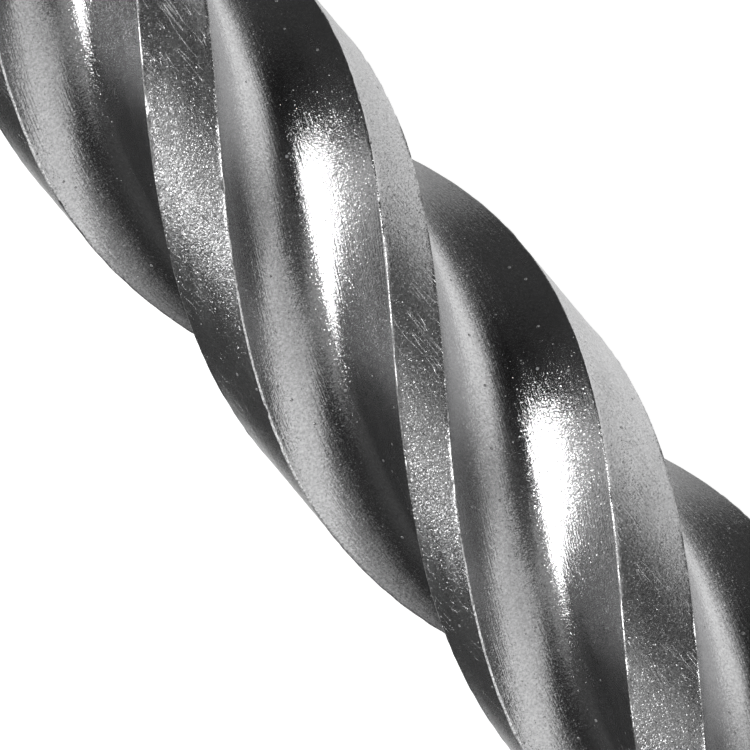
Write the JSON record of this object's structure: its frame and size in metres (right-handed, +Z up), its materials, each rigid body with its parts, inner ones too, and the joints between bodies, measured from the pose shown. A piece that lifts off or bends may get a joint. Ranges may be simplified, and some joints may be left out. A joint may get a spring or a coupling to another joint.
{
  "type": "hammer drill bit",
  "caption": "Masonry drill bit with a slotted hammer shank, right-handed spiral with wide and narrow lands, and a brazed carbide cutting plate at the point.",
  "frame": {"origin": "centre of the shank's end face, on the bit's axis", "axes": "+X along the bit's axis from the shank to the carbide point; +Z up, square to the flat carbide plate; the plate spans Y"},
  "size_m": [0.16, 0.012, 0.0112],
  "materials": {
    "blasted_steel": "grit-blasted, semi-bright, with bright edges",
    "carbide": "ground and satin",
    "braze": "dull braze metal"
  },
  "bodies": {
    "root": {"bit_body": "blasted_steel", "carbide_plate": "carbide", "braze_seam": "braze"}
  },
  "joints": []
}
